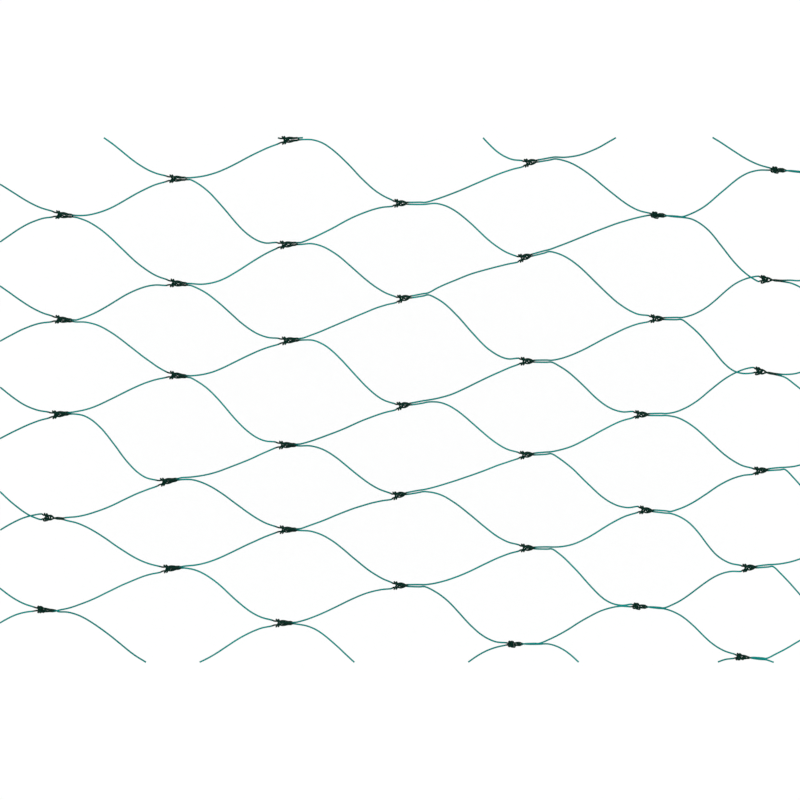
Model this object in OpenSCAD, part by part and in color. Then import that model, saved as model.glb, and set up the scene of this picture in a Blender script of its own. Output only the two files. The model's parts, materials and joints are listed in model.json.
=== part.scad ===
/* [Twine] */
// Diameter of the drawn twine
twine_d = 0.33; // [0.2:0.01:0.4]
// Clear gap between two strands that cross in a knot
strand_gap = 0.02; // [0.02:0.01:0.06]

/* [Mesh] */
// Distance from one column of knots to the next
column_pitch = 23.7; // [20:0.1:28]
// Distance from one knot of a column to the next one down
row_pitch = 19.4; // [17:0.1:22]
// Climb of a rising bar across one column
bar_climb = 8; // [6:0.1:10]
// Sideways step of a column from one knot to the next one down
column_lean = -0.6; // [-1.2:0.1:1.2]

/* [Bars] */
// Length over which a bar bends out of one knot and into the next
bend_reach = 7; // [4:0.5:9]
// Slope at which the two bars beside a knot spread apart, in degrees
bar_slope = 8; // [0:1:15]

/* [Knots] */
// Reach of a knot's two legs, side by side, in the columns on the left
short_run = 3; // [2.4:0.1:4]
// Reach of a knot's two legs, side by side, in the columns on the right
long_run = 4.6; // [2.4:0.1:7]
// Reach of a knot's two legs, side by side, in the column at the right edge
edge_run = 4.4; // [2.4:0.1:5]

/* [Panel] */
// Height of the panel, counted in rows of meshes
panel_rows = 5.4; // [5.3:0.1:5.6]
// Length of the cut ends beside the outer columns
end_length = 9; // [8:0.5:12]

/* [Hidden] */

twine_green = "#1f7f78";
twine_sides = 4;
// Half the diagonal of the four-sided section, which is then nearly as wide as the round twine
twine_corner = 0.53 * twine_d;
// Half the width of that section across its flats
twine_flat = twine_corner * cos(180 / twine_sides);
// A strand flatter than this slope lies level, with a flat of its section underneath
level_slope = 0.5;
// Lengths that a rising bar and a falling bar are drawn in
rising_steps = 3;
falling_steps = 4;
// A cut end shorter than this share of its bar is left off
least_share = 0.02;
// Share of what its two handles move by that the middle of a bar moves by
handle_share = 0.75;

// First and last row of each column that has a knot in the panel
first_row = [0, 0, 0, 1, 1, 2, 2];
last_row = [4, 4, 5, 5, 6, 6, 7];
columns = len(first_row);
middle_column = 4;
middle_row = 3;
// Place of the middle knot of the even grid, from the middle of the panel
middle_x = 1.3;
middle_y = 1;

panel_w = (columns - 1) * column_pitch + 2 * end_length;
panel_h = panel_rows * row_pitch;

// Steps in which the strays of the knots and the bows of the bars are counted
stray_step = 0.25;
bow_step = 0.5;
// Each list below goes column by column, and in a column from its top knot down
// Steps that each knot lies off the even grid, right and up
stray = [
    [[1, 7], [3, 1], [3, 3], [0, -2], [-4, 2]],
    [[-3, 4], [0, -2], [2, 2], [-3, -5], [2, 3]],
    [[-8, 3], [-7, -3], [-3, -2], [-3, -8], [0, 2], [-1, 5]],
    [[-9, -2], [-4, 0], [-2, -8], [-3, -2], [0, 3]],
    [[0, -1], [-2, 1], [2, -5], [4, -2], [7, 1], [-1, 2]],
    [[9, 2], [11, -3], [1, -2], [7, -1], [4, 0]],
    [[10, 6], [4, -4], [2, 0], [4, -1], [-3, -1], [-6, 5]]
];
// Degrees that each knot has rolled about its own length
rolled = [
    [0, 0, 0, 155, 40],
    [0, 0, 0, 0, 0],
    [0, 0, 0, 0, 0, 0],
    [0, 0, 0, 0, 0],
    [0, 0, 0, 0, 0, 60],
    [75, 0, 0, 0, 60],
    [75, 155, 155, 0, 0, 40]
];
// Degrees that each knot is tilted up from left to right
tilted = [
    [-5, -5, 5, -5, -5],
    [0, -5, -5, 10, 5],
    [5, 5, 5, 0, 0, 0],
    [0, 10, 10, 10, 0],
    [10, 15, 0, 5, 0, 0],
    [-5, 0, 0, -5, -5],
    [-5, -5, -10, 5, 5, -5]
];
// Steps that the rising and the falling bar on the right of each knot bow upward
bowed = [
    [[-1, 0], [2, 3], [-1, 1], [0, 1], [1, 3]],
    [[-1, -3], [-2, -1], [0, -2], [-3, 1], [-2, 0]],
    [[0, 2], [1, 3], [1, 2], [1, 3], [2, 2], [1, 1]],
    [[1, 4], [2, -4], [-2, 1], [-1, 0], [-1, -2]],
    [[-4, -1], [-1, -2], [0, -3], [-1, -5], [-2, -5], [2, 3]],
    [[2, 2], [0, -5], [-1, 1], [2, 0], [3, 0]],
    [[0, 0], [-2, -1], [0, -3], [-2, -8], [-2, -8], [4, 0]]
];

// Distance between the centres of two strands that cross, the unit of the knot's routes
strand_pitch = twine_d + strand_gap;
// Route of a bight, from its upper arm round to its lower arm
bight = [
    [-5.6, 1.7, 0], [-4, 1.45, 0], [0.9, 0.72, 0], [1.5, 0.36, 0],
    [1.5, -0.36, 0], [0.9, -0.72, 0], [-4, -1.45, 0], [-5.6, -1.7, 0]
];
// Route of a double sheet bend tied round that bight, from its upper leg: over the bight, round behind
// both arms, over the bight and round behind again, then over its own two turns, and down through the
// bight to its lower leg
bend = [
    [4.2, 0.25, 0.75], [1.9, 0.3, 1], [0.6, 0.5, 1.05], [-0.4, 1.05, 1.1], [-1.5, 1, 1.05],
    [-2, 0.1, 1], [-2.6, -1.35, 1.1], [-2.85, -2.35, 0.45], [-2.85, -2.35, -0.45], [-2.5, -1.35, -1.1],
    [-1.75, -0.7, -1.15], [-1.65, 0.1, -1.15], [-2.4, 1.35, -1.1], [-2.75, 2.35, -0.45], [-2.75, 2.35, 0.45],
    [-2.75, 1.4, 1.1], [-3.1, 0.1, 1], [-3.7, -1.5, 1.1], [-3.85, -2.55, 0.4], [-3.85, -2.55, -0.4],
    [-3.7, -1.5, -1.1], [-3.05, 0, -1.1], [-3.55, 1.5, -1.1], [-3.8, 2.55, -0.4], [-3.8, 2.55, 0.4],
    [-3.5, 2.1, 1.55], [-2.9, 1.55, 2.15], [-1.6, 0.6, 2.1], [-0.95, 0.05, 1.65], [-0.9, 0, 0.6],
    [-0.85, 0, -0.4], [-0.45, -0.1, -1], [1.9, -0.3, -1.1], [4.2, -0.25, -0.75]
];
// Half the distance between the ends of a knot's two legs, side by side or crossed
leg_offset = 0.56;
crossed_offset = 0.9;

function unit(v) = v / norm(v);
function has_knot(c, k) =
    c >= 1 && c <= columns && k >= first_row[c - 1] && k <= last_row[c - 1];
// A knot's own entry in one of the lists, or what stands for it outside the panel
function of_knot(list, c, k, other) = has_knot(c, k) ? list[c - 1][k - first_row[c - 1]] : other;
function knot_roll(c, k) = of_knot(rolled, c, k, 0);
function knot_tilt(c, k) = of_knot(tilted, c, k, 0);
function leg_run(c) = c < middle_column ? short_run : c < columns ? long_run : edge_run;

// A knot's own directions, along its legs, across its arms and through it, as it has rolled
function turned(p, roll) =
    [p.x, p.y * cos(roll) - p.z * sin(roll), p.y * sin(roll) + p.z * cos(roll)];
// Height of a knot's middle when its lowest strand lies on the floor
function knot_height(roll) =
    twine_flat - min([for (p = concat(bend, bight)) turned(p, roll).z]) * strand_pitch;
function knot_place(c, k) = concat(
    stray_step * of_knot(stray, c, k, [0, 0]) + [
        middle_x + (c - middle_column) * column_pitch + (k - middle_row) * column_lean,
        middle_y + (c - middle_column) * bar_climb - (k - middle_row) * row_pitch
    ],
    knot_height(knot_roll(c, k))
);
// A step along a knot's length at a slope, and a step in the knot's own directions
function aslant(c, k, slope) = [cos(knot_tilt(c, k) + slope), sin(knot_tilt(c, k) + slope), 0];
function in_knot(c, k, p) =
    let (q = turned(p, knot_roll(c, k)) * strand_pitch)
    knot_place(c, k) + q.x * aslant(c, k, 0) + q.y * aslant(c, k, 90) + [0, 0, q.z];
// The two legs of a knot that has rolled over cross, so that the upper one is the upper one again
function leg_across(c, k, side) =
    side * (cos(knot_roll(c, k)) < 0 ? -crossed_offset : leg_offset);
// End of a knot's upper (side 1) or lower (side -1) leg, and mouth of that arm of its bight
function leg_end(c, k, side) =
    in_knot(c, k, [leg_run(c) / strand_pitch, leg_across(c, k, side), 0]);
function arm_end(c, k, side) = in_knot(c, k, side > 0 ? bight[0] : bight[len(bight) - 1]);

function bight_route(c, k) = [for (p = bight) in_knot(c, k, p)];
function bend_route(c, k) =
    concat([leg_end(c, k, 1)], [for (p = bend) in_knot(c, k, p)], [leg_end(c, k, -1)]);

// A bar is one cubic curve from a leg of its left knot to an arm of its right knot, which lies in the
// same row (drop 0) or in the next one down (drop 1)
function bar(c, k, side, drop) =
    let (
        from = leg_end(c, k, side),
        to = arm_end(c + 1, k + drop, -side),
        rise = [0, of_knot(bowed, c, k, [0, 0])[drop] * bow_step / handle_share, 0]
    )
    [
        from,
        from + bend_reach * aslant(c, k, side * bar_slope) + rise,
        to - bend_reach * aslant(c + 1, k + drop, side * bar_slope) + rise,
        to
    ];
function rising_bar(c, k) = bar(c, k, 1, 0);
function falling_bar(c, k) = bar(c, k, -1, 1);
function on_bar(b, t) =
    b[0] * (1 - t) ^ 3 + 3 * b[1] * t * (1 - t) ^ 2 + 3 * b[2] * t ^ 2 * (1 - t) + b[3] * t ^ 3;
function in_panel(p) = abs(p.x) <= panel_w / 2 && abs(p.y) <= panel_h / 2;
// Share of a bar at which the edge of the panel cuts it, between a share inside and one outside
function cut_share(b, inside, outside, tries = 16) =
    let (middle = (inside + outside) / 2)
    tries == 0 ? inside
        : in_panel(on_bar(b, middle)) ? cut_share(b, middle, outside, tries - 1)
        : cut_share(b, inside, middle, tries - 1);
function reversed(list) = [for (i = [len(list) - 1 : -1 : 0]) list[i]];
// Points of a bar, left to right, between its two knots or between its one knot and the cut
function bar_route(b, steps, has_left, has_right) =
    has_left && has_right ? [for (i = [1 : steps - 1]) on_bar(b, i / steps)]
    : has_left && in_panel(b[0]) ? cut_route(b, steps, 0, cut_share(b, 0, 1))
    : has_right && in_panel(b[3]) ? reversed(cut_route(b, steps, 1, cut_share(b, 1, 0)))
    : [];
function cut_route(b, steps, knot_share, end_share) =
    let (share = end_share - knot_share, parts = ceil(abs(share) * steps))
    abs(share) < least_share ? []
    : [for (i = [1 : parts]) on_bar(b, knot_share + share * i / parts)];
function rising_route(c, k) =
    bar_route(rising_bar(c, k), rising_steps, has_knot(c, k), has_knot(c + 1, k));
function falling_route(c, k) =
    bar_route(falling_bar(c, k), falling_steps, has_knot(c, k), has_knot(c + 1, k + 1));

// Route of the twine between one column and the next, from the top cut to the bottom cut
function twine_route(c) = [
    for (k = [min(first_row) - 1 : max(last_row) + 1]) each concat(
        has_knot(c + 1, k) ? bight_route(c + 1, k) : [],
        reversed(rising_route(c, k)),
        has_knot(c, k) ? bend_route(c, k) : [],
        falling_route(c, k)
    )
];
// Route of a cut length at the left edge, which is one bight
function left_route(k) = concat(
    falling_route(0, k - 1),
    bight_route(1, k),
    reversed(rising_route(0, k))
);
// Route of a cut length at the right edge, which is one sheet bend
function right_route(k) = concat(
    reversed(rising_route(columns, k)),
    bend_route(columns, k),
    falling_route(columns, k)
);

// Direction of a strand's first corner, carried from ring to ring and set square where it lies level
function squared(s, t) =
    let (
        h = unit(cross(t, [0, 0, 1])),
        v = cross(h, t),
        a = 90 * round(atan2(s * v, s * h) / 90 - 0.5) + 45
    )
    h * cos(a) + v * sin(a);
function carried(s, t) = abs(t.z) < level_slope ? squared(s - (s * t) * t, t) : unit(s - (s * t) * t);

// One strand swept along its route, with its underside no lower than the floor
module strand(route) {
    last = len(route) - 1;
    steps = [for (i = [0 : last - 1]) unit(route[i + 1] - route[i])];
    along = [for (i = [0 : last]) unit(steps[max(i - 1, 0)] + steps[min(i, last - 1)])];
    corner = [
        for (
            i = 0, s = carried([1, 1, 1], along[0]);
            i <= last;
            i = i + 1, s = carried(s, along[min(i, last)])
        ) s
    ];
    points = [
        for (i = [0 : last], side = [0 : twine_sides - 1])
            let (
                a = side * 360 / twine_sides,
                out = corner[i] * cos(a) + cross(along[i], corner[i]) * sin(a),
                p = route[i] + twine_corner * out
            )
            [p.x, p.y, max(p.z, 0)]
    ];
    walls = [
        for (i = [0 : last - 1], side = [0 : twine_sides - 1])
            let (
                a = i * twine_sides + side,
                b = i * twine_sides + (side + 1) % twine_sides
            )
            each [[a, a + twine_sides, b], [b, a + twine_sides, b + twine_sides]]
    ];
    caps = [
        for (side = [2 : twine_sides - 1])
            each [[0, side - 1, side], last * twine_sides * [1, 1, 1] + [0, side, side - 1]]
    ];
    polyhedron(points, concat(walls, caps));
}

module twine(c) { color(twine_green) strand(twine_route(c)); }
module left_end(n) { color(twine_green) strand(left_route(first_row[0] + n - 1)); }
module right_end(n) { color(twine_green) strand(right_route(first_row[columns - 1] + n - 1)); }

twine(1);  // twine_1
twine(2);  // twine_2
twine(3);  // twine_3
twine(4);  // twine_4
twine(5);  // twine_5
twine(6);  // twine_6
left_end(1);  // left_end_1
left_end(2);  // left_end_2
left_end(3);  // left_end_3
left_end(4);  // left_end_4
left_end(5);  // left_end_5
right_end(1);  // right_end_1
right_end(2);  // right_end_2
right_end(3);  // right_end_3
right_end(4);  // right_end_4
right_end(5);  // right_end_5
right_end(6);  // right_end_6
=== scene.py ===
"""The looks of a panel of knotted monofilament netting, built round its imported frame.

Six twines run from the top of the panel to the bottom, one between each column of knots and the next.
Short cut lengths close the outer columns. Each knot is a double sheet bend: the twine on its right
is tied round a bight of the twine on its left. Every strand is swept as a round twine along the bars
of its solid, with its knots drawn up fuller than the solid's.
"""

import json
import math
from typing import NamedTuple

import bpy
import numpy as np
from bpy.props import FloatProperty, FloatVectorProperty, IntProperty, PointerProperty
from bpy.types import Operator, Panel, PropertyGroup
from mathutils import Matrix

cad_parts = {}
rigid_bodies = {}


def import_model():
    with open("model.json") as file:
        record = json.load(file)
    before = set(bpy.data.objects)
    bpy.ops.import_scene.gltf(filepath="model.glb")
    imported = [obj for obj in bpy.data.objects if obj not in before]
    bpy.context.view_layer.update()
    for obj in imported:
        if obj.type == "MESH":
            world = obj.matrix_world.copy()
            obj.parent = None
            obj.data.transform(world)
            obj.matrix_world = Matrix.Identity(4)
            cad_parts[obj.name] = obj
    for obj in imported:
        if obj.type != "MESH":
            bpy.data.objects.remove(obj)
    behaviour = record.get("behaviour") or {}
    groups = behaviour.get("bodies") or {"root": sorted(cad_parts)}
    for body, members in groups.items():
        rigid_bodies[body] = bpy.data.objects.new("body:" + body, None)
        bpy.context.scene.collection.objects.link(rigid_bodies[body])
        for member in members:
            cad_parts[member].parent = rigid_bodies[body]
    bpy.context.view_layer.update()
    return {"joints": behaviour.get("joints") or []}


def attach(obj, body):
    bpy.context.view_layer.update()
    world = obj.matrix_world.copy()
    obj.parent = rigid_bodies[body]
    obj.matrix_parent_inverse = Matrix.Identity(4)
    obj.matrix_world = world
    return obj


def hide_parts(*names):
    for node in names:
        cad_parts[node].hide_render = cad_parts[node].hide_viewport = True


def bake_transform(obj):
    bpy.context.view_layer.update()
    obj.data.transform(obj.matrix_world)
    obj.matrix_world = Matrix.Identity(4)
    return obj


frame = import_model()

bl_info = {
    "name": "Knotted netting panel",
    "version": (1, 0, 0),
    "blender": (4, 5, 0),
    "location": "View3D > Sidebar > Netting",
    "description": "Builds a slack panel of knotted monofilament netting with its stage",
    "category": "Object",
}

MM = 0.001
FINISH_NAME = "drawn_nylon_monofilament"
SWEEP_NAME = "swept_twine"

# First and last row of each column that has a knot in the panel
FIRST_ROW = (0, 0, 0, 1, 1, 2, 2)
LAST_ROW = (4, 4, 5, 5, 6, 6, 7)
COLUMNS = len(FIRST_ROW)
MIDDLE_COLUMN = 4
MIDDLE_ROW = 3

# Each list below goes column by column, and in a column from its top knot down
# Quarters of a millimetre that each knot lies off the even grid, right and up
STRAY_STEP = 0.25 * MM
STRAY = (
    ((1, 7), (3, 1), (3, 3), (0, -2), (-4, 2)),
    ((-3, 4), (0, -2), (2, 2), (-3, -5), (2, 3)),
    ((-8, 3), (-7, -3), (-3, -2), (-3, -8), (0, 2), (-1, 5)),
    ((-9, -2), (-4, 0), (-2, -8), (-3, -2), (0, 3)),
    ((0, -1), (-2, 1), (2, -5), (4, -2), (7, 1), (-1, 2)),
    ((9, 2), (11, -3), (1, -2), (7, -1), (4, 0)),
    ((10, 6), (4, -4), (2, 0), (4, -1), (-3, -1), (-6, 5)),
)
# Degrees that each knot has rolled about its own length
ROLLED = (
    (0, 0, 0, 155, 40),
    (0, 0, 0, 0, 0),
    (0, 0, 0, 0, 0, 0),
    (0, 0, 0, 0, 0),
    (0, 0, 0, 0, 0, 60),
    (75, 0, 0, 0, 60),
    (75, 155, 155, 0, 0, 40),
)
# Degrees that each knot is tilted up from left to right
TILTED = (
    (-5, -5, 5, -5, -5),
    (0, -5, -5, 10, 5),
    (5, 5, 5, 0, 0, 0),
    (0, 10, 10, 10, 0),
    (10, 15, 0, 5, 0, 0),
    (-5, 0, 0, -5, -5),
    (-5, -5, -10, 5, 5, -5),
)
# Half millimetres that the rising and the falling bar on the right of each knot bow upward
BOW_STEP = 0.5 * MM
BOWED = (
    ((-1, 0), (2, 3), (-1, 1), (0, 1), (1, 3)),
    ((-1, -3), (-2, -1), (0, -2), (-3, 1), (-2, 0)),
    ((0, 2), (1, 3), (1, 2), (1, 3), (2, 2), (1, 1)),
    ((1, 4), (2, -4), (-2, 1), (-1, 0), (-1, -2)),
    ((-4, -1), (-1, -2), (0, -3), (-1, -5), (-2, -5), (2, 3)),
    ((2, 2), (0, -5), (-1, 1), (2, 0), (3, 0)),
    ((0, 0), (-2, -1), (0, -3), (-2, -8), (-2, -8), (4, 0)),
)
# Share of what its two handles move by that the middle of a bar moves by
HANDLE_SHARE = 0.75

# Routes inside a knot, along it, across it and through it, in steps from one strand to the next
MOUTH = (-5.6, 1.7, 0)
# Over the bight and round behind both arms, twice, then over both turns and down through the bight
TURNS = (
    (-0.3, 0.55, 1.1), (-1.3, 0.8, 1.05), (-2, 0.1, 1), (-2.7, -1.1, 1.1), (-3.2, -1.95, 0.45),
    (-3.2, -1.95, -0.45), (-2.6, -1.15, -1.1), (-1.85, -0.45, -1.15), (-1.85, 0.45, -1.15),
    (-2.6, 1.15, -1.1), (-3.15, 1.95, -0.45), (-3.15, 1.95, 0.45), (-2.85, 1.15, 1.1), (-3.2, 0.1, 1),
    (-3.9, -1.15, 1.1), (-4.45, -2.05, 0.4), (-4.45, -2.05, -0.4), (-4, -1.2, -1.1), (-3.2, 0, -1.1),
    (-4, 1.2, -1.1), (-4.4, 2.05, -0.4), (-4.4, 2.05, 0.4), (-4, 1.7, 1.5), (-3.3, 1.25, 2.15),
    (-1.7, 0.4, 2.1), (-0.95, -0.25, 1.65), (-0.9, -0.3, 0.6), (-0.85, -0.3, -0.4), (-0.4, -0.55, -1),
)


class KnotForm(NamedTuple):
    """How a knot is drawn up, in the same steps.

    The lower arm mirrors the upper one, and the lower leg is the upper one turned over.
    """

    # The bight's upper arm, from its mouth to its tip
    arm: tuple
    # How far the turns are drawn towards the legs
    drawn: float
    # The upper leg, from the turns outward
    leg: tuple
    # Where the knot's depth begins to fade along its legs, and the run over which it would fade to 0
    fade: tuple


# In the columns on the left the tip of the bight reaches far along the legs
LONG_FORM = KnotForm(
    arm=(
        (-4.2, 1.2, 0), (-3, 1.06, 0), (-1.2, 1.05, 0), (0.5, 1.35, 0), (2, 1.2, 0), (3.6, 0.85, 0),
        (5.4, 0.75, 0), (6.1, 0.36, 0),
    ),
    drawn=1.4,
    leg=((2.1, 0.4, 1.05), (4.4, 0.45, 1), (6.4, 0.45, 1), (7.5, 0.5, 0.5)),
    fade=(4, 7),
)
# In the columns on the right the tip is short, and the legs run side by side
SHORT_FORM = KnotForm(
    arm=(
        (-4.8, 1.22, 0), (-3.9, 1.06, 0), (-2.3, 1.05, 0), (-0.6, 1.35, 0), (0.6, 1.15, 0),
        (1.7, 0.72, 0), (2.2, 0.36, 0),
    ),
    drawn=0.3,
    leg=((1, 0.4, 1.05), (2.2, 0.4, 1.05), (3.3, 0.5, 0.6), (4.7, 0.56, 0.2), (10.5, 0.64, 0)),
    fade=(2.3, 3.5),
)
# A knot that has rolled over, so that its legs cross beside it
CROSSED_FORM = KnotForm(
    arm=(
        (-4.8, 1.22, 0), (-3.9, 1.06, 0), (-2.3, 1.05, 0), (-0.6, 1.35, 0), (0.2, 1.05, 0),
        (0.8, 0.6, 0), (1.05, 0.33, 0),
    ),
    drawn=0.3,
    leg=((1, 0.05, 1.05), (2, -0.4, 0.9), (3.2, -0.65, 0.7), (6.6, -0.6, 0.55)),
    fade=(6, 6),
)
# Half the distance between the ends of a knot's two legs, side by side or crossed
LEG_OFFSET = 0.56
CROSSED_OFFSET = 0.9
# Depth in a knot, from 0 on the bars to 1 among the turns, at the mouth of its bight and at its leg ends
MOUTH_DEPTH = 0.6
LEG_DEPTH = 0.35

# Points that a bar is drawn through between its two knots
BAR_POINTS = 9
# A cut end shorter than this share of its bar is left off
LEAST_SHARE = 0.02
# Halvings that find where the edge of the panel cuts a bar
CUT_TRIES = 16

# Length over which the dye changes, and the part of its noise that goes from full green to pale
DYE_SPAN = 14 * MM
DYE_NOISE = (0.35, 0.75)
# Depths in a knot between which painted shade turns the green dark
KNOT_SHADE_DEPTH = (0.3, 0.9)
# Die lines are a few hundredths of a millimetre apart, and are drawn coarser so that they show
DIE_LINES = 4
DIE_HEIGHT = 0.01 * MM
DIE_STRENGTH = 0.3
# Roughness of the gloss, from the smoothest die line to the roughest
GLOSS_ROUGHNESS = (0.28, 0.48)
# Nylon's index of refraction, and how little of its gloss shows under an even white sky
NYLON_IOR = 1.53
NYLON_GLOSS = 0.03


def linear(hex_colour):
    """An sRGB hex value as linear red, green and blue."""
    parts = [int(hex_colour[i:i + 2], 16) / 255 for i in (1, 3, 5)]
    return tuple(c / 12.92 if c <= 0.04045 else ((c + 0.055) / 1.055) ** 2.4 for c in parts)


def length(name, description, millimetres):
    """A length that a user would change."""
    return FloatProperty(
        name=name, description=description, default=millimetres * MM, unit="LENGTH", precision=5
    )


def degrees(name, description, value):
    """An angle that a user would change."""
    return FloatProperty(
        name=name, description=description, default=math.radians(value), subtype="ANGLE"
    )


def colour(name, description, hex_colour):
    """A colour that a user would change."""
    return FloatVectorProperty(
        name=name, description=description, default=linear(hex_colour), subtype="COLOR",
        min=0, max=1,
    )


def share(name, description, value):
    """A part of one that a user would change."""
    return FloatProperty(
        name=name, description=description, default=value, min=0, max=1, subtype="FACTOR"
    )


class NettingMesh(PropertyGroup):
    """Sizes of the meshes and of the panel that is cut from them."""

    column_pitch: length("Column pitch", "From one column of knots to the next", 23.7)
    row_pitch: length("Row pitch", "From one knot of a column to the next one down", 19.4)
    bar_climb: length("Bar climb", "Climb of a rising bar across one column", 8)
    column_lean: length("Column lean", "Sideways step from a knot to the next one down", -0.6)
    middle_x: length("Middle knot, right", "Middle knot of the even grid, from the origin", 1.3)
    middle_y: length("Middle knot, up", "Middle knot of the even grid, from the origin", 1)
    bend_reach: length("Bend reach", "Length over which a bar bends out of a knot", 7)
    bar_slope: degrees("Bar slope", "Slope at which two bars beside a knot spread apart", 8)
    short_run: length("Short legs", "Reach of a knot's legs in the columns on the left", 3)
    long_run: length("Long legs", "Reach of a knot's legs in the columns on the right", 4.6)
    edge_run: length("Edge legs", "Reach of a knot's legs in the column at the right edge", 4.4)
    panel_rows: FloatProperty(
        name="Panel height", description="Height of the panel in rows of meshes", default=5.4
    )
    end_length: length("End length", "Cut ends beside the outer columns", 9)
    fold_clear: length("Fold clearance", "From a knot's middle to where its legs fold", 1.5)
    fold_width: length("Fold width", "Length of the legs that bends in a fold", 2)


class NettingTwine(PropertyGroup):
    """Sizes and colours of the twine."""

    diameter: length("Diameter", "Diameter of the drawn twine", 0.33)
    strand_gap: length("Strand gap", "Clear gap between two strands that cross in a knot", 0.02)
    sides: IntProperty(
        name="Sides", description="Sides of the twine's round section", default=12, min=6
    )
    knot_ring: length("Ring spacing in knots", "From one ring to the next in a knot", 0.08)
    bar_ring: length("Ring spacing on bars", "From one ring to the next on a bar", 0.35)
    wander: length("Wander", "Waver that is left in a bar from the knotting", 0.12)
    wander_span: length("Wander span", "Length of one waver along a bar", 6)
    draw_change: share("Draw change", "Change of thickness along the twine", 0.03)
    draw_span: length("Draw span", "Length of one change of thickness", 5)
    body: colour("Twine", "Green of a single strand", "#00807a")
    pale: colour("Pale twine", "Green where the dye took less", "#0c928a")
    # Painted shade: this near-black green on a knot's turns stands in for the shade between its strands
    painted_knot_shade: colour("Knot", "Green among the turns of a knot", "#062c23")


class NettingStage(PropertyGroup):
    """The camera, the light and the floor."""

    view_width: length("View width", "Width of the view at the panel", 160)
    view_right: length("View, right", "Middle of the view, from the origin", -0.2)
    lens: FloatProperty(
        name="Lens", description="Focal length", default=100, subtype="DISTANCE_CAMERA"
    )
    floor_drop: length("Floor drop", "Floor below the panel, clear of every fold", 60)
    floor_size: length("Floor size", "Side of the square floor", 4000)
    sun_spread: degrees("Sun spread", "Angle of sky that the soft sun fills", 45)
    sun_strength: FloatProperty(
        name="Sun strength", description="Strength of the soft sun", default=1, min=0
    )
    ambient: share("Ambient light", "Light that comes from all around", 0.7)
    paper: colour("Paper", "White of the floor", "#e8e8e8")


def settings():
    """The three groups of sizes and colours."""
    scene = bpy.context.scene
    return scene.netting_mesh, scene.netting_twine, scene.netting_stage


def add(tree, kind, inputs=None, **options):
    """Adds a node with its options, and gives each named input a value or a link."""
    node = tree.nodes.new(kind)
    for name, value in options.items():
        setattr(node, name, value)
    for name, value in (inputs or {}).items():
        if isinstance(value, bpy.types.NodeSocket):
            tree.links.new(value, node.inputs[name])
        else:
            node.inputs[name].default_value = value
    return node


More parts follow.
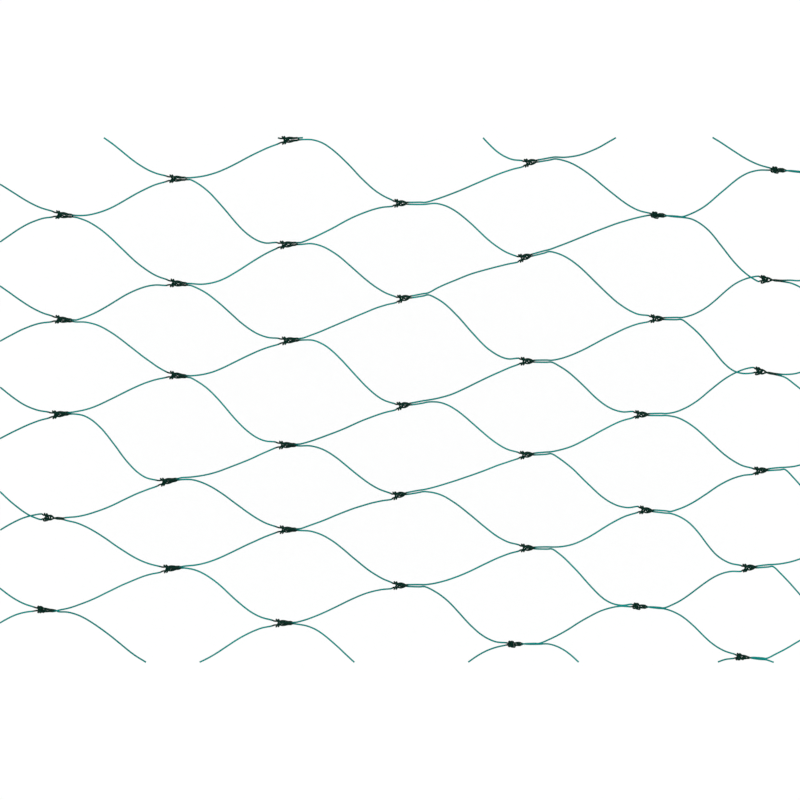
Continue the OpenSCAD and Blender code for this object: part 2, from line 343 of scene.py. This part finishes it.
class Lattice:
    """Where the knots of the panel lie, and the routes of its strands in metres.

    A point of a route is its place and its depth in a knot, from 0 on the bars to 1 among the turns.
    """

    def __init__(self):
        self.mesh, twine, _ = settings()
        self.pitch = twine.diameter + twine.strand_gap
        self.radius = twine.diameter / 2
        self.half_w = (COLUMNS - 1) * self.mesh.column_pitch / 2 + self.mesh.end_length
        self.half_h = self.mesh.panel_rows * self.mesh.row_pitch / 2

    @staticmethod
    def has_knot(c, k):
        """Whether column c has a knot in row k of the panel."""
        return 1 <= c <= COLUMNS and FIRST_ROW[c - 1] <= k <= LAST_ROW[c - 1]

    def of_knot(self, entries, c, k, other=0):
        """A knot's own entry in one of the lists, or what stands for it outside the panel."""
        return entries[c - 1][k - FIRST_ROW[c - 1]] if self.has_knot(c, k) else other

    def roll(self, c, k):
        """Angle that a knot has rolled about its own length."""
        return math.radians(self.of_knot(ROLLED, c, k))

    @staticmethod
    def rolled(p, roll):
        """A step along, across and through a knot as it has rolled about its length."""
        x, y, z = p
        return np.array((
            x,
            y * math.cos(roll) - z * math.sin(roll),
            y * math.sin(roll) + z * math.cos(roll),
        ))

    def place(self, c, k):
        """The middle of a knot, whose lowest strand lies on the floor."""
        mesh = self.mesh
        off = STRAY_STEP * np.array(self.of_knot(STRAY, c, k, (0, 0)))
        lowest = min(self.rolled(p, self.roll(c, k))[2] for p in TURNS)
        column, row = c - MIDDLE_COLUMN, k - MIDDLE_ROW
        return np.array((
            off[0] + mesh.middle_x + column * mesh.column_pitch + row * mesh.column_lean,
            off[1] + mesh.middle_y + column * mesh.bar_climb - row * mesh.row_pitch,
            self.radius - lowest * self.pitch,
        ))

    def aslant(self, c, k, slope):
        """A step in the plane of the panel, at a slope to a knot's length."""
        angle = math.radians(self.of_knot(TILTED, c, k)) + slope
        return np.array((math.cos(angle), math.sin(angle), 0))

    def in_knot(self, c, k, p):
        """A point of a knot's own routes, as the knot lies in the panel."""
        x, y, z = self.rolled(p, self.roll(c, k)) * self.pitch
        along, across = self.aslant(c, k, 0), self.aslant(c, k, math.pi / 2)
        return self.place(c, k) + x * along + y * across + np.array((0, 0, z))

    def form(self, c, k):
        """How a knot is drawn up."""
        if math.cos(self.roll(c, k)) < 0:
            return CROSSED_FORM
        return LONG_FORM if c < MIDDLE_COLUMN else SHORT_FORM

    def leg_run(self, c):
        """Reach of the legs of column c's knots."""
        if c < MIDDLE_COLUMN:
            return self.mesh.short_run
        return self.mesh.long_run if c < COLUMNS else self.mesh.edge_run

    def leg_end(self, c, k, side):
        """End of a knot's upper (side 1) or lower (side -1) leg."""
        offset = -CROSSED_OFFSET if self.form(c, k) is CROSSED_FORM else LEG_OFFSET
        return self.in_knot(c, k, (self.leg_run(c) / self.pitch, side * offset, 0))

    def mouth(self, c, k, side):
        """Where a bar comes to the upper (side 1) or lower (side -1) arm of a knot's bight."""
        x, y, z = MOUTH
        return self.in_knot(c, k, (x, side * y, z))

    def bight(self, c, k):
        """The bend of a twine that lies inside a knot, from its upper arm round to its lower arm."""
        upper = self.form(c, k).arm
        lower = [(x, -y, z) for x, y, z in reversed(upper)]
        loop = [(self.in_knot(c, k, p), 1) for p in (*upper, *lower)]
        return [(self.mouth(c, k, 1), MOUTH_DEPTH), *loop, (self.mouth(c, k, -1), MOUTH_DEPTH)]

    def bend(self, c, k):
        """The double sheet bend that a twine ties round a bight, from its upper leg to its lower leg."""
        form = self.form(c, k)
        turns = [(x + form.drawn, y, z) for x, y, z in TURNS]
        lower = [(x, -y, -z) for x, y, z in form.leg]
        start, steps = form.fade
        route = []
        for p in (*reversed(form.leg), *turns, *lower):
            depth = max(LEG_DEPTH, min(1, 1 - (p[0] - start) / steps))
            route.append((self.in_knot(c, k, p), depth))
        return [(self.leg_end(c, k, 1), LEG_DEPTH), *route, (self.leg_end(c, k, -1), LEG_DEPTH)]

    def bar(self, c, k, side):
        """The handles of a bar, from a leg of its left knot to an arm of its right knot."""
        mesh = self.mesh
        drop = 0 if side > 0 else 1
        start = self.leg_end(c, k, side)
        end = self.mouth(c + 1, k + drop, -side)
        bow = self.of_knot(BOWED, c, k, (0, 0))[drop] * BOW_STEP
        rise = np.array((0, bow / HANDLE_SHARE, 0))
        out = mesh.bend_reach * self.aslant(c, k, side * mesh.bar_slope)
        into = mesh.bend_reach * self.aslant(c + 1, k + drop, side * mesh.bar_slope)
        return start, start + out + rise, end - into + rise, end

    @staticmethod
    def on_bar(b, t):
        """The point of a bar at a share t of its curve."""
        s = 1 - t
        return b[0] * s**3 + 3 * b[1] * t * s**2 + 3 * b[2] * t**2 * s + b[3] * t**3

    def in_panel(self, p):
        """Whether a point lies inside the cuts of the panel."""
        return abs(p[0]) <= self.half_w and abs(p[1]) <= self.half_h

    def cut_share(self, b, inside, outside):
        """Share of a bar at which the edge of the panel cuts it."""
        for _ in range(CUT_TRIES):
            middle = (inside + outside) / 2
            if self.in_panel(self.on_bar(b, middle)):
                inside = middle
            else:
                outside = middle
        return inside

    def strand(self, c, k, side):
        """Points of a bar, left to right, between its two knots or between its one knot and the cut."""
        b = self.bar(c, k, side)
        left, right = self.has_knot(c, k), self.has_knot(c + 1, k if side > 0 else k + 1)
        if left and right:
            shares = [i / (BAR_POINTS + 1) for i in range(1, BAR_POINTS + 1)]
        elif left and self.in_panel(b[0]):
            shares = self.cut_shares(0, self.cut_share(b, 0, 1))
        elif right and self.in_panel(b[3]):
            shares = self.cut_shares(1, self.cut_share(b, 1, 0))[::-1]
        else:
            shares = []
        return [(self.on_bar(b, t), 0) for t in shares]

    @staticmethod
    def cut_shares(knot, end):
        """Shares of a bar from its knot to the cut, which is the last of them."""
        if abs(end - knot) < LEAST_SHARE:
            return []
        parts = math.ceil(abs(end - knot) * (BAR_POINTS + 1))
        return [knot + (end - knot) * i / parts for i in range(1, parts + 1)]

    def twine(self, c):
        """Route of the twine between column c and the next, from the top cut to the bottom cut."""
        route = []
        for k in range(min(FIRST_ROW) - 1, max(LAST_ROW) + 2):
            if self.has_knot(c + 1, k):
                route += self.bight(c + 1, k)
            route += self.strand(c, k, 1)[::-1]
            if self.has_knot(c, k):
                route += self.bend(c, k)
            route += self.strand(c, k, -1)
        return route

    def left_end(self, k):
        """Route of a cut length at the left edge, which is one bight."""
        return self.strand(0, k - 1, -1) + self.bight(1, k) + self.strand(0, k, 1)[::-1]

    def right_end(self, k):
        """Route of a cut length at the right edge, which is one double sheet bend."""
        return self.strand(COLUMNS, k, 1)[::-1] + self.bend(COLUMNS, k) + self.strand(COLUMNS, k, -1)


def smoothed(route):
    """A route as rows of place and depth, on one smooth curve that passes through its points.

    The curve is a centripetal one, which doesn't overshoot where close points follow far ones.
    """
    _, twine, _ = settings()
    rows = np.array([(*p, depth) for p, depth in route])
    first, last = 2 * rows[0] - rows[1], 2 * rows[-1] - rows[-2]
    rows = np.vstack((first, rows, last))
    line = []
    for i in range(1, len(rows) - 2):
        p = rows[i - 1:i + 3]
        gaps = np.linalg.norm(np.diff(p[:, :3], axis=0), axis=1)
        t = np.concatenate(([0], np.cumsum(np.sqrt(gaps))))
        ring = twine.knot_ring if max(p[1, 3], p[2, 3]) > MOUTH_DEPTH else twine.bar_ring
        count = max(2, math.ceil(gaps[1] / ring))
        u = t[1] + (t[2] - t[1]) * np.arange(count)[:, None] / count
        # Blends of the straight lines through each two of four points, and then blends of those blends
        a = [(p[j] * (t[j + 1] - u) + p[j + 1] * (u - t[j])) / (t[j + 1] - t[j]) for j in range(3)]
        b = [(a[j] * (t[j + 2] - u) + a[j + 1] * (u - t[j])) / (t[j + 2] - t[j]) for j in range(2)]
        span = (b[0] * (t[2] - u) + b[1] * (u - t[1])) / (t[2] - t[1])
        span[:, 3] = np.interp(np.arange(count) / count, (0, 1), p[1:3, 3])
        line.append(span)
    return np.vstack((*line, rows[-2]))


def drawn_monofilament():
    """Nylon drawn through a die: an even, closed surface with a soft gloss and faint lines along it.

    The dye is a little uneven from length to length. Among the turns of a knot the green is painted
    almost black: painted shade, standing in for the shade that falls between the strands.
    """
    _, twine, _ = settings()
    material = bpy.data.materials.new(FINISH_NAME)
    material.use_nodes = True
    tree = material.node_tree
    tree.nodes.clear()
    place = add(tree, "ShaderNodeTexCoord").outputs["Object"]
    depth = add(tree, "ShaderNodeAttribute", attribute_name="depth").outputs["Fac"]
    die = add(tree, "ShaderNodeAttribute", attribute_name="die").outputs["Vector"]
    dye = add(tree, "ShaderNodeTexNoise", {"Vector": place, "Scale": 1 / DYE_SPAN, "Detail": 2})
    dyed = add(
        tree, "ShaderNodeMapRange",
        {"Value": dye.outputs["Fac"], "From Min": DYE_NOISE[0], "From Max": DYE_NOISE[1]},
        interpolation_type="SMOOTHSTEP",
    )
    bars = add(
        tree, "ShaderNodeMixRGB",
        {"Fac": dyed.outputs["Result"], "Color1": (*twine.body, 1), "Color2": (*twine.pale, 1)},
    )
    # Painted shade: by its depth in a knot, the twine's green is mixed towards the near-black knot shade
    knot_shade_mask = add(
        tree, "ShaderNodeMapRange",
        {"Value": depth, "From Min": KNOT_SHADE_DEPTH[0], "From Max": KNOT_SHADE_DEPTH[1]},
        interpolation_type="SMOOTHSTEP",
    )
    green = add(
        tree, "ShaderNodeMixRGB",
        {"Fac": knot_shade_mask.outputs["Result"], "Color1": bars.outputs["Color"], "Color2": (*twine.painted_knot_shade, 1)},
    )
    lines = add(tree, "ShaderNodeTexNoise", {"Vector": die, "Scale": DIE_LINES, "Detail": 3})
    gloss = add(
        tree, "ShaderNodeMapRange",
        {"Value": lines.outputs["Fac"], "To Min": GLOSS_ROUGHNESS[0], "To Max": GLOSS_ROUGHNESS[1]},
    )
    ridges = add(
        tree, "ShaderNodeBump",
        {"Height": lines.outputs["Fac"], "Strength": DIE_STRENGTH, "Distance": DIE_HEIGHT},
    )
    surface = add(
        tree, "ShaderNodeBsdfPrincipled",
        {
            "Base Color": green.outputs["Color"],
            "Roughness": gloss.outputs["Result"],
            "Normal": ridges.outputs["Normal"],
            "IOR": NYLON_IOR,
            "Specular IOR Level": NYLON_GLOSS,
        },
    )
    add(tree, "ShaderNodeOutputMaterial", {"Surface": surface.outputs["BSDF"]})
    return material


def sweep_tree():
    """A tree that sweeps a round twine along a line, wavering on the bars and thinner here and there."""
    tree = bpy.data.node_groups.new(SWEEP_NAME, "GeometryNodeTree")
    face = tree.interface
    face.new_socket("Geometry", in_out="INPUT", socket_type="NodeSocketGeometry")
    for name in ("Diameter", "Wander", "Wander span", "Draw change", "Draw span"):
        face.new_socket(name, in_out="INPUT", socket_type="NodeSocketFloat")
    face.new_socket("Sides", in_out="INPUT", socket_type="NodeSocketInt")
    face.new_socket("Finish", in_out="INPUT", socket_type="NodeSocketMaterial")
    face.new_socket("Geometry", in_out="OUTPUT", socket_type="NodeSocketGeometry")
    given = add(tree, "NodeGroupInput").outputs

    def maths(operation, a, b):
        return add(tree, "ShaderNodeMath", {0: a, 1: b}, operation=operation).outputs[0]

    def scaled(vector, scale):
        return add(
            tree, "ShaderNodeVectorMath", {0: vector, "Scale": scale}, operation="SCALE"
        ).outputs[0]

    line = add(tree, "GeometryNodeMeshToCurve", {"Mesh": given["Geometry"]}).outputs["Curve"]
    depth = add(
        tree, "GeometryNodeInputNamedAttribute", {"Name": "depth"}, data_type="FLOAT"
    ).outputs["Attribute"]
    # Waver of the bars, in the plane of the panel, that fades out towards each knot
    place = add(tree, "GeometryNodeInputPosition").outputs["Position"]
    waver = add(
        tree, "ShaderNodeTexNoise",
        {"Vector": place, "Scale": maths("DIVIDE", 1.0, given["Wander span"]), "Detail": 1.0},
    ).outputs["Color"]
    centred = add(
        tree, "ShaderNodeVectorMath", {0: waver, 1: (0.5, 0.5, 0.5)}, operation="SUBTRACT"
    ).outputs[0]
    level = add(
        tree, "ShaderNodeVectorMath", {0: centred, 1: (2, 2, 0)}, operation="MULTIPLY"
    ).outputs[0]
    free = maths("MULTIPLY", maths("SUBTRACT", 1.0, depth), given["Wander"])
    line = add(
        tree, "GeometryNodeSetPosition", {"Geometry": line, "Offset": scaled(level, free)}
    ).outputs["Geometry"]
    # Thickness that changes along the twine as it was drawn
    run = add(tree, "GeometryNodeSplineParameter").outputs["Length"]
    drawn = add(
        tree, "ShaderNodeTexNoise",
        {"W": maths("DIVIDE", run, given["Draw span"]), "Scale": 1.0},
        noise_dimensions="1D",
    ).outputs["Fac"]
    change = maths("MULTIPLY", maths("SUBTRACT", drawn, 0.5), given["Draw change"])
    line = add(
        tree, "GeometryNodeSetCurveRadius", {"Curve": line, "Radius": maths("ADD", change, 1.0)}
    ).outputs["Curve"]
    line = add(
        tree, "GeometryNodeStoreNamedAttribute",
        {"Geometry": line, "Name": "run", "Value": run}, data_type="FLOAT", domain="POINT",
    ).outputs["Geometry"]
    # The round section, with the turn about the twine kept at each of its points
    ring = add(
        tree, "GeometryNodeCurvePrimitiveCircle",
        {"Resolution": given["Sides"], "Radius": maths("DIVIDE", given["Diameter"], 2.0)},
    ).outputs["Curve"]
    turn = maths("MULTIPLY", add(tree, "GeometryNodeSplineParameter").outputs["Factor"], 2 * math.pi)
    round_it = add(
        tree, "ShaderNodeCombineXYZ", {"X": maths("COSINE", turn, 0.0), "Y": maths("SINE", turn, 0.0)}
    ).outputs["Vector"]
    ring = add(
        tree, "GeometryNodeStoreNamedAttribute",
        {"Geometry": ring, "Name": "turn", "Value": round_it},
        data_type="FLOAT_VECTOR", domain="POINT",
    ).outputs["Geometry"]
    swept = add(
        tree, "GeometryNodeCurveToMesh", {"Curve": line, "Profile Curve": ring, "Fill Caps": True}
    ).outputs["Mesh"]
    # A place on the twine's surface that runs on slowly along it, for its die lines
    kept_turn = add(
        tree, "GeometryNodeInputNamedAttribute", {"Name": "turn"}, data_type="FLOAT_VECTOR"
    ).outputs["Attribute"]
    kept_run = add(
        tree, "GeometryNodeInputNamedAttribute", {"Name": "run"}, data_type="FLOAT"
    ).outputs["Attribute"]
    onward = add(
        tree, "ShaderNodeCombineXYZ", {"Z": maths("DIVIDE", kept_run, given["Draw span"])}
    ).outputs["Vector"]
    on_surface = add(
        tree, "ShaderNodeVectorMath", {0: kept_turn, 1: onward}, operation="ADD"
    ).outputs[0]
    swept = add(
        tree, "GeometryNodeStoreNamedAttribute",
        {"Geometry": swept, "Name": "die", "Value": on_surface},
        data_type="FLOAT_VECTOR", domain="POINT",
    ).outputs["Geometry"]
    swept = add(
        tree, "GeometryNodeSetShadeSmooth", {"Geometry": swept, "Shade Smooth": True}
    ).outputs["Geometry"]
    swept = add(tree, "GeometryNodeRealizeInstances", {"Geometry": swept}).outputs["Geometry"]
    swept = add(
        tree, "GeometryNodeSetMaterial", {"Geometry": swept, "Material": given["Finish"]}
    ).outputs["Geometry"]
    add(tree, "NodeGroupOutput", {"Geometry": swept})
    return tree


def swept_strand(name, route):
    """A strand as a plain mesh, swept along its route by the tree."""
    _, twine, _ = settings()
    tree = bpy.data.node_groups.get(SWEEP_NAME) or sweep_tree()
    finish = bpy.data.materials.get(FINISH_NAME) or drawn_monofilament()
    line = smoothed(route)
    mesh = bpy.data.meshes.new(name + "_line")
    mesh.from_pydata(line[:, :3].tolist(), [(i, i + 1) for i in range(len(line) - 1)], [])
    depth = mesh.attributes.new("depth", "FLOAT", "POINT")
    depth.data.foreach_set("value", line[:, 3].astype(np.float32))
    strand = bpy.data.objects.new(name, mesh)
    bpy.context.scene.collection.objects.link(strand)
    modifier = strand.modifiers.new("sweep", "NODES")
    modifier.node_group = tree
    values = {
        "Diameter": twine.diameter, "Wander": twine.wander, "Wander span": twine.wander_span,
        "Draw change": twine.draw_change, "Draw span": twine.draw_span, "Sides": twine.sides,
        "Finish": finish,
    }
    for item in tree.interface.items_tree:
        if item.in_out == "INPUT" and item.name in values:
            modifier[item.identifier] = values[item.name]
    depsgraph = bpy.context.evaluated_depsgraph_get()
    swept = bpy.data.meshes.new_from_object(
        strand.evaluated_get(depsgraph), preserve_all_data_layers=True, depsgraph=depsgraph
    )
    strand.modifiers.clear()
    strand.data = swept
    bpy.data.meshes.remove(mesh)
    if not swept.polygons:
        raise RuntimeError(f"{name} has no surface")
    swept.name = name
    return strand


def bend_at_fold(strand, c):
    """Looks up the bodies on each side of column c's fold, which nothing uses, and bakes the strand's
    transform.
    """
    joint = next(j for j in frame["joints"] if j["name"] == f"fold_{c}")
    left_body, right_body = joint["parent"], joint["child"]
    if c < MIDDLE_COLUMN:
        left_body, right_body = right_body, left_body
    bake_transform(strand)


def stand_for(node):
    """Hides the node that a strand stands for."""
    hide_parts(node)


class NETTING_OT_left_ends(Operator):
    """Make the cut lengths at the left edge, each a bight in a knot of the first column"""

    bl_idname = "netting.left_ends"
    bl_label = "Left cut ends"

    def execute(self, context):
        lattice = Lattice()
        for n, k in enumerate(range(FIRST_ROW[0], LAST_ROW[0] + 1), 1):
            strand = swept_strand(f"left_cut_end_{n}", lattice.left_end(k))
            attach(strand, "left_edge")
            stand_for(f"left_end_{n}")
        return {"FINISHED"}


class NETTING_OT_twines(Operator):
    """Make the twines that run from the top of the panel to the bottom, tied at every knot"""

    bl_idname = "netting.twines"
    bl_label = "Twines"

    def execute(self, context):
        lattice = Lattice()
        for c in range(1, COLUMNS):
            strand = swept_strand(f"knotted_twine_{c}", lattice.twine(c))
            bend_at_fold(strand, c)
            stand_for(f"twine_{c}")
        return {"FINISHED"}


class NETTING_OT_right_ends(Operator):
    """Make the cut lengths at the right edge, each a double sheet bend in the last column"""

    bl_idname = "netting.right_ends"
    bl_label = "Right cut ends"

    def execute(self, context):
        lattice = Lattice()
        for n, k in enumerate(range(FIRST_ROW[-1], LAST_ROW[-1] + 1), 1):
            strand = swept_strand(f"right_cut_end_{n}", lattice.right_end(k))
            bend_at_fold(strand, COLUMNS)
            stand_for(f"right_end_{n}")
        return {"FINISHED"}


def seen_ray(tree):
    """1 where the camera sees a surface, straight or by way of gloss or glass, and 0 elsewhere."""
    path = add(tree, "ShaderNodeLightPath").outputs
    straight = add(
        tree, "ShaderNodeMath", {0: path["Is Camera Ray"], 1: path["Is Glossy Ray"]}, operation="MAXIMUM"
    ).outputs[0]
    return add(
        tree, "ShaderNodeMath", {0: straight, 1: path["Is Transmission Ray"]}, operation="MAXIMUM"
    ).outputs[0]


def white_paper():
    """Matt white paper, lit evenly: it shows as white and takes a soft shadow."""
    stage = settings()[2]
    material = bpy.data.materials.new("matt_white_paper")
    material.use_nodes = True
    tree = material.node_tree
    tree.nodes.clear()
    matt = add(tree, "ShaderNodeBsdfDiffuse", {"Color": (*stage.paper, 1)}).outputs["BSDF"]
    lift = add(
        tree, "ShaderNodeMath", {0: seen_ray(tree), 1: 1 - min(stage.paper)}, operation="MULTIPLY"
    ).outputs[0]
    glow = add(tree, "ShaderNodeEmission", {"Strength": lift}).outputs["Emission"]
    both = add(tree, "ShaderNodeAddShader", {0: matt, 1: glow}).outputs["Shader"]
    add(tree, "ShaderNodeOutputMaterial", {"Surface": both})
    return material


class NETTING_OT_stage(Operator):
    """Make the camera above the panel, the soft light and the white floor"""

    bl_idname = "netting.stage"
    bl_label = "Stage"

    def execute(self, context):
        scene, stage = context.scene, settings()[2]
        scene.view_settings.view_transform = "Standard"
        self.add_camera(scene, stage)
        self.add_light(scene, stage)
        self.add_floor(scene, stage)
        return {"FINISHED"}

    def add_camera(self, scene, stage):
        data = bpy.data.cameras.new("view_from_above")
        data.lens = stage.lens
        camera = bpy.data.objects.new("view_from_above", data)
        camera.location = (stage.view_right, 0, stage.view_width * stage.lens / data.sensor_width)
        scene.collection.objects.link(camera)
        scene.camera = camera

    def add_light(self, scene, stage):
        world = bpy.data.worlds.new("even_white_room")
        world.use_nodes = True
        tree = world.node_tree
        tree.nodes.clear()
        level = add(
            tree, "ShaderNodeMapRange", {"Value": seen_ray(tree), "To Min": stage.ambient}
        ).outputs["Result"]
        room = add(tree, "ShaderNodeBackground", {"Color": (1, 1, 1, 1), "Strength": level})
        add(tree, "ShaderNodeOutputWorld", {"Surface": room.outputs["Background"]})
        scene.world = world
        data = bpy.data.lights.new("soft_sun", "SUN")
        data.angle = stage.sun_spread
        data.energy = stage.sun_strength
        scene.collection.objects.link(bpy.data.objects.new("soft_sun", data))

    def add_floor(self, scene, stage):
        half = stage.floor_size / 2
        mesh = bpy.data.meshes.new("paper_floor")
        corners = ((-half, -half), (half, -half), (half, half), (-half, half))
        mesh.from_pydata([(x, y, -stage.floor_drop) for x, y in corners], [], [(0, 1, 2, 3)])
        mesh.materials.append(white_paper())
        floor = bpy.data.objects.new("paper_floor", mesh)
        scene.collection.objects.link(floor)


class NETTING_PT_panel(Panel):
    """The netting's pieces and its sizes"""

    bl_label = "Netting"
    bl_idname = "NETTING_PT_panel"
    bl_space_type = "VIEW_3D"
    bl_region_type = "UI"
    bl_category = "Netting"

    def draw(self, context):
        for operator in OPERATORS:
            self.layout.operator(operator.bl_idname)
        for group in settings():
            column = self.layout.column()
            for name in group.__annotations__:
                column.prop(group, name)


GROUPS = {"netting_mesh": NettingMesh, "netting_twine": NettingTwine, "netting_stage": NettingStage}
OPERATORS = (NETTING_OT_stage, NETTING_OT_left_ends, NETTING_OT_twines, NETTING_OT_right_ends)
CLASSES = (*GROUPS.values(), *OPERATORS, NETTING_PT_panel)


def register():
    for cls in CLASSES:
        bpy.utils.register_class(cls)
    for name, group in GROUPS.items():
        setattr(bpy.types.Scene, name, PointerProperty(type=group))


def unregister():
    for name in GROUPS:
        delattr(bpy.types.Scene, name)
    for cls in reversed(CLASSES):
        bpy.utils.unregister_class(cls)


def main():
    register()
    bpy.ops.netting.stage()
    bpy.ops.netting.left_ends()
    bpy.ops.netting.twines()
    bpy.ops.netting.right_ends()


if __name__ == "__main__":
    main()
